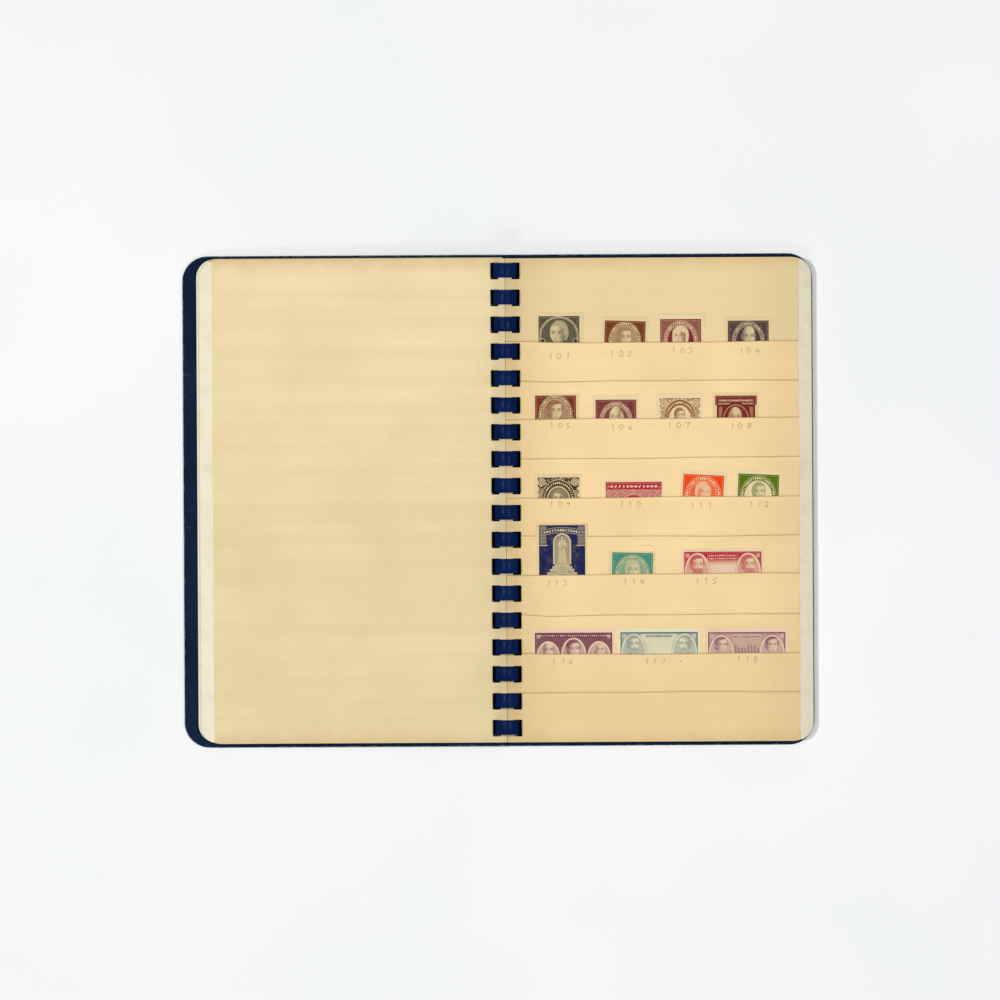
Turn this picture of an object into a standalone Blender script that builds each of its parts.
"""Pocket stock album, lying open: a plastic comb binding, two covers, five pleated pocket leaves and 18 stamps.

+X runs to the right across the open album, +Y to the head of the pages and +Z up. The origin is on the
table under the comb's axis. Leaves and covers are built in a hinge frame: s outward from the comb's axis,
y along it, and w up, with w = 0 on the axis. The right hinge holds them as built and the left hinge turns
them over by half a turn, so a leaf of one pattern serves both sides.
"""

from math import atan2, cos, pi, radians, sin

import bmesh
import bpy
from mathutils import Matrix, Vector

MM = 0.001

# comb binding
RING_OUTER = 6.35 * MM
COMB_WALL = 0.5 * MM
RING_INNER = RING_OUTER - COMB_WALL
FINGERS = 18
FINGER_PITCH = 12.7 * MM
FINGER_WIDTH = 6.9 * MM
COMB_CENTRE_Y = 0.7 * MM
ARC_STEP = radians(12)
SPINE_START = radians(-132)
SPINE_END = radians(-72)
SPINE_OVERLAP = radians(3)
TUCK_START = radians(219)
TUCK_END = radians(228)
TIP_END = radians(242)
TUCK_DEPTH = 0.64 * MM

# leaves
PAGE_HEIGHT = 228.6 * MM
PAGE_EDGE = 144.7 * MM
PAGE_GUTTER = 0.1 * MM
PAGE_CORNER = 9 * MM
HOLE_INNER = 3.15 * MM
HOLE_WIDTH = 3.75 * MM
HOLE_HEIGHT = 7.9 * MM
HOLE_DROP = 0.3 * MM
BACKING_THICK = 0.15 * MM
POCKET_THICK = 0.12 * MM
TAPE_THICK = 0.12 * MM
TAPE_WIDTH = 6.2 * MM
PAPER_GAP = 0.02 * MM
LEAF_GAP = 0.04 * MM
OPENING_GAP = 0.3 * MM
RIGHT_LEAVES = 3
LEFT_LEAVES = 2
LOOSE_LEAF_SHIFT = Vector((1.2 * MM, 0.45 * MM))

# pleats of the pocket sheet
POCKETS = 10
LIP_FIRST_Y = 74.8 * MM
LIP_PITCH = 18.4 * MM
POCKET_DEPTH = 15.5 * MM
PLEAT_STEP = 0.43 * MM
TOP_PANEL_RISE = 4 * MM
STAMP_THICK = 0.1 * MM

# covers
COVER_THICK = 0.6 * MM
COVER_HEIGHT = 232 * MM
COVER_CORNER = 12 * MM
COVER_HOLE_WIDTH = 3.2 * MM
FRONT_COVER_EDGE = 152.4 * MM
FRONT_COVER_HOLE = 3.8 * MM
BACK_COVER_EDGE = 145.1 * MM
BACK_COVER_HOLE = 2.0 * MM
COVER_MARGIN = 3.4 * MM

SAME_POINT = 1e-6
CUTTER_REACH = 20 * MM

# worked out from the sizes above; the spine strip's lowest facet lies on the table
RING_Z = RING_OUTER * cos(ARC_STEP / 2)
SLOPE = PLEAT_STEP / LIP_PITCH
PANEL_DROP = SLOPE * (LIP_PITCH + POCKET_DEPTH)
PLEATS_THICK = PANEL_DROP + POCKET_THICK
BACKING_W = TAPE_THICK + PAPER_GAP
PLEATS_W = BACKING_W + BACKING_THICK + PAPER_GAP
LEAF_THICK = PLEATS_W + PLEATS_THICK + PAPER_GAP + TAPE_THICK
LEAF_PITCH = LEAF_THICK + LEAF_GAP
FRONT_COVER_W = OPENING_GAP + LEFT_LEAVES * LEAF_PITCH
BACK_COVER_W = -OPENING_GAP - RIGHT_LEAVES * LEAF_PITCH - COVER_THICK
LEFT_TILT = (RING_Z - FRONT_COVER_W - COVER_THICK) / FRONT_COVER_EDGE
RIGHT_TILT = (RING_Z + BACK_COVER_W) / BACK_COVER_EDGE

MANILA = (0.86, 0.68, 0.40)
MANILA_BACK = (0.82, 0.67, 0.41)
CLOTH = (0.80, 0.76, 0.62)
NAVY_COVER = (0.008, 0.019, 0.045)
NAVY_COMB = (0.005, 0.017, 0.075)

REGULAR = (22.3, 26.0)
WIDE = (39.5, 25.0)
# name, pocket, centre from the comb's axis in mm, height above the lip in mm, size in mm, turn in degrees, colour
STAMPS = (
    ("stamp_01_grey_olive", 1, 25.9, 13.7, REGULAR, 0.0, (0.23, 0.19, 0.11)),
    ("stamp_02_ochre_brown", 1, 56.3, 11.6, REGULAR, -1.8, (0.36, 0.17, 0.07)),
    ("stamp_03_carmine", 1, 83.1, 12.8, REGULAR, 0.0, (0.50, 0.13, 0.10)),
    ("stamp_04_violet", 1, 114.8, 11.0, REGULAR, 0.0, (0.22, 0.13, 0.11)),
    ("stamp_05_red_brown", 3, 23.8, 12.5, REGULAR, 0.0, (0.50, 0.20, 0.11)),
    ("stamp_06_claret", 3, 52.0, 11.8, REGULAR, 0.0, (0.42, 0.17, 0.13)),
    ("stamp_07_yellow_brown", 3, 82.0, 12.4, REGULAR, 0.0, (0.48, 0.27, 0.07)),
    ("stamp_08_maroon", 3, 108.6, 12.6, REGULAR, 0.0, (0.33, 0.09, 0.06)),
    ("stamp_09_black_brown", 5, 24.5, 11.3, REGULAR, 0.0, (0.14, 0.10, 0.06)),
    ("stamp_10_carmine_wide", 5, 60.3, 8.0, (28.0, 22.5), 0.0, (0.57, 0.12, 0.08)),
    ("stamp_11_orange", 5, 93.1, 12.1, REGULAR, -3.0, (0.80, 0.24, 0.07)),
    ("stamp_12_olive_green", 5, 119.3, 12.6, REGULAR, -2.6, (0.42, 0.36, 0.08)),
    ("stamp_13_slate_tall", 7, 26.2, 24.6, (24.4, 38.8), 0.0, (0.16, 0.16, 0.15)),
    ("stamp_14_teal_green", 7, 59.2, 11.6, REGULAR, -1.2, (0.16, 0.30, 0.20)),
    ("stamp_15_rose_wide", 7, 102.1, 12.4, WIDE, 0.0, (0.62, 0.27, 0.22)),
    ("stamp_16_purple_wide", 9, 31.4, 11.9, WIDE, 0.0, (0.30, 0.12, 0.16)),
    ("stamp_17_blue_grey_wide", 9, 71.9, 11.9, WIDE, 0.0, (0.36, 0.38, 0.31)),
    ("stamp_18_mauve_wide", 9, 113.4, 12.1, WIDE, 0.0, (0.50, 0.24, 0.24)),
)


def clear_scene():
    for obj in list(bpy.data.objects):
        bpy.data.objects.remove(obj, do_unlink=True)


def make_collection(name):
    collection = bpy.data.collections.new(name)
    bpy.context.scene.collection.children.link(collection)
    return collection


def make_material(name, colour, roughness, metallic=0.0):
    material = bpy.data.materials.new(name)
    material.use_nodes = True
    shader = material.node_tree.nodes["Principled BSDF"]
    shader.inputs["Base Color"].default_value = (*colour, 1.0)
    shader.inputs["Roughness"].default_value = roughness
    shader.inputs["Metallic"].default_value = metallic
    material.diffuse_color = (*colour, 1.0)
    return material


def rectangle(low_x, low_y, high_x, high_y):
    return [(low_x, low_y), (high_x, low_y), (high_x, high_y), (low_x, high_y)]


def rounded_outline(inner, edge, height, radius, steps=6):
    """A sheet's outline, square at the gutter and with two round corners at the fore-edge."""
    points = [(inner, -height / 2)]
    for centre_y, start in ((-height / 2 + radius, -pi / 2), (height / 2 - radius, 0.0)):
        for i in range(steps + 1):
            angle = start + i * pi / 2 / steps
            points.append((edge - radius + radius * cos(angle), centre_y + radius * sin(angle)))
    points.append((inner, height / 2))
    return points


def finger_y(i):
    return COMB_CENTRE_Y + (i - (FINGERS - 1) / 2) * FINGER_PITCH


def punched_holes(inner, width):
    low = -HOLE_DROP - HOLE_HEIGHT / 2
    high = -HOLE_DROP + HOLE_HEIGHT / 2
    return [
        rectangle(inner, finger_y(i) + low, inner + width, finger_y(i) + high)
        for i in range(FINGERS)
    ]


def flat_curve(name, outlines, thickness, collection):
    """A filled 2D curve, which may have holes, extruded to a slab centred on its own XY plane."""
    curve = bpy.data.curves.new(name, "CURVE")
    curve.dimensions = "2D"
    curve.fill_mode = "BOTH"
    curve.extrude = thickness / 2
    for outline in outlines:
        spline = curve.splines.new("POLY")
        spline.points.add(len(outline) - 1)
        for point, (x, y) in zip(spline.points, outline):
            point.co = (x, y, 0.0, 1.0)
        spline.use_cyclic_u = True
    obj = bpy.data.objects.new(name, curve)
    collection.objects.link(obj)
    return obj


def baked(obj, offset=Matrix()):
    """The object's evaluated shape as a welded mesh in world space, moved by the offset; the object goes."""
    bpy.context.view_layer.update()
    graph = bpy.context.evaluated_depsgraph_get()
    mesh = bpy.data.meshes.new_from_object(obj.evaluated_get(graph), depsgraph=graph)
    mesh.transform(offset @ obj.matrix_world)
    shape = bmesh.new()
    shape.from_mesh(mesh)
    bmesh.ops.remove_doubles(shape, verts=shape.verts, dist=SAME_POINT)
    bmesh.ops.recalc_face_normals(shape, faces=shape.faces)
    shape.to_mesh(mesh)
    shape.free()
    mesh.materials.clear()
    bpy.data.objects.remove(obj, do_unlink=True)
    return mesh


def mesh_object(name, mesh, collection):
    obj = bpy.data.objects.new(name, mesh)
    collection.objects.link(obj)
    return obj


def combined(obj, cutter, operation):
    modifier = obj.modifiers.new("cut", "BOOLEAN")
    modifier.operation = operation
    modifier.object = cutter
    modifier.solver = "EXACT"
    return obj


def make_cutter(name, mesh, cutters):
    cutter = mesh_object(name, mesh, cutters)
    cutter.hide_render = True
    cutter.display_type = "WIRE"
    return cutter


def place(name, mesh, collection, parent, location, material, rotation=(0.0, 0.0, 0.0)):
    own = mesh.copy()
    own.name = name
    own.materials.append(material)
    obj = mesh_object(name, own, collection)
    obj.parent = parent
    obj.location = location
    obj.rotation_euler = rotation
    return obj


def hinge(name, turn, collection):
    """An empty on the comb's axis, turned about it."""
    empty = bpy.data.objects.new(name, None)
    empty.empty_display_size = 10 * MM
    empty.location = (0.0, 0.0, RING_Z)
    empty.rotation_euler = (0.0, turn, 0.0)
    collection.objects.link(empty)
    return empty


def ring_outline(low, high, outer_at):
    """A curved band between two angles about the comb's axis."""
    steps = max(1, round((high - low) / ARC_STEP))
    angles = [low + (high - low) * i / steps for i in range(steps + 1)]
    angles = sorted({*angles, *(a for a in (TUCK_START, TUCK_END) if low < a < high)})
    outside = [(outer_at(a) * cos(a), outer_at(a) * sin(a)) for a in angles]
    inside = [
        ((outer_at(a) - COMB_WALL) * cos(a), (outer_at(a) - COMB_WALL) * sin(a)) for a in angles
    ]
    return outside + inside[::-1]


def finger_radius(angle):
    """The outside of a finger: round, then drawn in so that the tip tucks inside the spine strip."""
    share = (angle - TUCK_START) / (TUCK_END - TUCK_START)
    return RING_OUTER - TUCK_DEPTH * min(max(share, 0.0), 1.0)


def comb_binding(collection, cutters):
    """One curled band along the whole comb, slotted between the fingers down to the spine strip."""
    upright = Matrix.Rotation(pi / 2, 4, "X")
    length = (FINGERS - 1) * FINGER_PITCH + FINGER_WIDTH
    spine = flat_curve(
        "spine", [ring_outline(SPINE_START, SPINE_END, lambda a: RING_OUTER)], length, collection
    )
    spine = mesh_object("comb_binding", baked(spine, upright), collection)
    finger = flat_curve(
        "finger", [ring_outline(SPINE_END - SPINE_OVERLAP, TIP_END, finger_radius)], FINGER_WIDTH, cutters
    )
    finger = baked(finger, upright)
    fingers = bmesh.new()
    for i in range(FINGERS):
        fingers.from_mesh(finger)
        new = [v for v in fingers.verts if not v.tag]
        shift = Vector((0.0, finger_y(i) - COMB_CENTRE_Y, 0.0))
        bmesh.ops.translate(fingers, vec=shift, verts=new)
        for vert in new:
            vert.tag = True
    mesh = bpy.data.meshes.new("fingers")
    fingers.to_mesh(mesh)
    fingers.free()
    joined = combined(spine, make_cutter("comb_fingers", mesh, cutters), "UNION")
    spine.data.materials.append(make_material("comb_plastic", NAVY_COMB, 0.25))
    joined.location = (0.0, COMB_CENTRE_Y, RING_Z)
    bpy.data.objects["comb_fingers"].location = joined.location


def cover(name, hole, edge, w, parent, collection, material):
    outline = rounded_outline(hole - COVER_MARGIN, edge, COVER_HEIGHT, COVER_CORNER)
    slab = flat_curve(name, [outline] + punched_holes(hole, COVER_HOLE_WIDTH), COVER_THICK, collection)
    mesh = baked(slab, Matrix.Translation((0.0, 0.0, COVER_THICK / 2)))
    place(name, mesh, collection, parent, (0.0, 0.0, w), material)


def offset_line(points, distance):
    """The line parallel to a bent one, with mitred corners."""
    out = []
    for i, point in enumerate(points):
        before = (Vector(point) - Vector(points[i - 1])).normalized() if i else None
        after = (Vector(points[i + 1]) - Vector(point)).normalized() if i + 1 < len(points) else None
        first = before or after
        last = after or before
        normal = Vector((-first.y - last.y, first.x + last.x)).normalized()
        stretch = 1 / normal.dot(Vector((-first.y, first.x)))
        out.append(Vector(point) + normal * distance * stretch)
    return out


def lip_y(k):
    return LIP_FIRST_Y - (k - 1) * LIP_PITCH


def panel_w(k, y):
    """The mid-height of the panel that runs down behind lip k, in the pocket sheet's own frame."""
    return POCKET_THICK / 2 + SLOPE * (y - lip_y(k) + POCKET_DEPTH)


def pleat_line():
    """The pocket sheet's mid-line in (y, w), from the head to the foot, folded at each pocket."""
    head_y = lip_y(1) + TOP_PANEL_RISE
    points = [(PAGE_HEIGHT / 2, panel_w(1, head_y)), (head_y, panel_w(1, head_y))]
    under_front = PLEAT_STEP - POCKET_THICK - PAPER_GAP
    for k in range(1, POCKETS + 1):
        bottom_y = lip_y(k) - POCKET_DEPTH
        points.append((bottom_y, panel_w(k, bottom_y)))
        points.append((bottom_y, panel_w(k, bottom_y) + under_front))
        points.append((lip_y(k), panel_w(k, lip_y(k)) + under_front))
        points.append((lip_y(k), panel_w(k + 1, lip_y(k))))
    points.append((-PAGE_HEIGHT / 2, panel_w(POCKETS + 1, -PAGE_HEIGHT / 2)))
    return points


def pocket_sheet_mesh(page_prism, collection):
    line = pleat_line()
    half = POCKET_THICK / 2
    outline = offset_line(line, half) + offset_line(line, -half)[::-1]
    width = PAGE_EDGE - PAGE_GUTTER
    along_s = Matrix.Rotation(pi / 2, 4, "Z") @ Matrix.Rotation(pi / 2, 4, "X")
    to_middle = Matrix.Translation((PAGE_GUTTER + width / 2, 0.0, 0.0))
    slab = flat_curve("pleats", [outline], width, collection)
    pleats = mesh_object("pleats", baked(slab, to_middle @ along_s), collection)
    return baked(combined(pleats, page_prism, "INTERSECT"))


def edge_tape_mesh(tape_prism, collection):
    """Cloth tape folded over the fore-edge, as a channel cut to the leaf's round corners."""
    inner = PAGE_EDGE - TAPE_WIDTH
    wall = PAGE_EDGE - TAPE_THICK
    top = LEAF_THICK
    outline = [
        (inner, 0.0),
        (PAGE_EDGE, 0.0),
        (PAGE_EDGE, top),
        (inner, top),
        (inner, top - TAPE_THICK),
        (wall, top - TAPE_THICK),
        (wall, TAPE_THICK),
        (inner, TAPE_THICK),
    ]
    upright = Matrix.Rotation(pi / 2, 4, "X")
    slab = flat_curve("channel", [outline], PAGE_HEIGHT + CUTTER_REACH, collection)
    channel = mesh_object("channel", baked(slab, upright), collection)
    return baked(combined(channel, tape_prism, "INTERSECT"))


def leaf_meshes(collection, cutters):
    """The three sheets of one leaf, as meshes in the leaf's own frame."""
    inset = TAPE_THICK + PAPER_GAP
    outline = rounded_outline(PAGE_GUTTER, PAGE_EDGE - inset, PAGE_HEIGHT, PAGE_CORNER)
    punched = [outline] + punched_holes(HOLE_INNER, HOLE_WIDTH)
    prism = baked(flat_curve("prism", punched, CUTTER_REACH, cutters))
    page_prism = make_cutter("page_prism", prism, cutters)
    full = rounded_outline(PAGE_GUTTER, PAGE_EDGE, PAGE_HEIGHT, PAGE_CORNER)
    prism = baked(flat_curve("prism", [full], CUTTER_REACH, cutters))
    tape_prism = make_cutter("tape_prism", prism, cutters)
    slab = flat_curve("backing", punched, BACKING_THICK, collection)
    return {
        "pocket_sheet": pocket_sheet_mesh(page_prism, collection),
        "backing_sheet": baked(slab, Matrix.Translation((0.0, 0.0, BACKING_THICK / 2))),
        "edge_tape": edge_tape_mesh(tape_prism, collection),
    }


def leaf(name, meshes, w, shift, parent, collection, materials):
    heights = {"pocket_sheet": PLEATS_W, "backing_sheet": BACKING_W, "edge_tape": 0.0}
    for piece, mesh in meshes.items():
        location = (shift.x, shift.y, w + heights[piece])
        place(f"{name}_{piece}", mesh, collection, parent, location, materials[piece])


def stamp(spec, leaf_w, parent, collection):
    """A stamp standing in its pocket, flat against the panel behind it."""
    name, pocket, across, above_lip, size, turn, colour = spec
    width = size[0] * MM
    height = size[1] * MM
    slab = flat_curve(
        name, [rectangle(-width / 2, -height / 2, width / 2, height / 2)], STAMP_THICK, collection
    )
    mesh = baked(slab)
    middle_y = lip_y(pocket) + above_lip * MM - height / 2
    rest_w = panel_w(pocket, middle_y) + POCKET_THICK / 2 + PAPER_GAP + STAMP_THICK / 2
    location = (across * MM, middle_y, leaf_w + PLEATS_W + rest_w)
    lean = Matrix.Rotation(atan2(PLEAT_STEP, LIP_PITCH), 4, "X")
    rotation = (lean @ Matrix.Rotation(radians(turn), 4, "Z")).to_euler()
    material = make_material(name + "_ink", colour, 0.7)
    place(name, mesh, collection, parent, location, material, rotation)


def build():
    clear_scene()
    album = make_collection("stamp_album")
    cutters = make_collection("cutters")
    left = hinge("left_hinge", pi - LEFT_TILT, album)
    right = hinge("right_hinge", RIGHT_TILT, album)
    comb_binding(album, cutters)
    navy = make_material("cover_board", NAVY_COVER, 0.55)
    cover("front_cover", FRONT_COVER_HOLE, FRONT_COVER_EDGE, FRONT_COVER_W, left, album, navy)
    cover("back_cover", BACK_COVER_HOLE, BACK_COVER_EDGE, BACK_COVER_W, right, album, navy)
    materials = {
        "pocket_sheet": make_material("manila_pocket", MANILA, 0.8),
        "backing_sheet": make_material("manila_backing", MANILA_BACK, 0.8),
        "edge_tape": make_material("cloth_tape", CLOTH, 0.85),
    }
    meshes = leaf_meshes(album, cutters)
    still = Vector((0.0, 0.0))
    for i in range(RIGHT_LEAVES):
        w = -OPENING_GAP - i * LEAF_PITCH - LEAF_THICK
        leaf(f"right_leaf_{i + 1}", meshes, w, still, right, album, materials)
    for i in range(LEFT_LEAVES):
        w = OPENING_GAP + i * LEAF_PITCH
        shift = LOOSE_LEAF_SHIFT * i
        leaf(f"left_leaf_{i + 1}", meshes, w, shift, left, album, materials)
    for spec in STAMPS:
        stamp(spec, -OPENING_GAP - LEAF_THICK, right, album)


build()
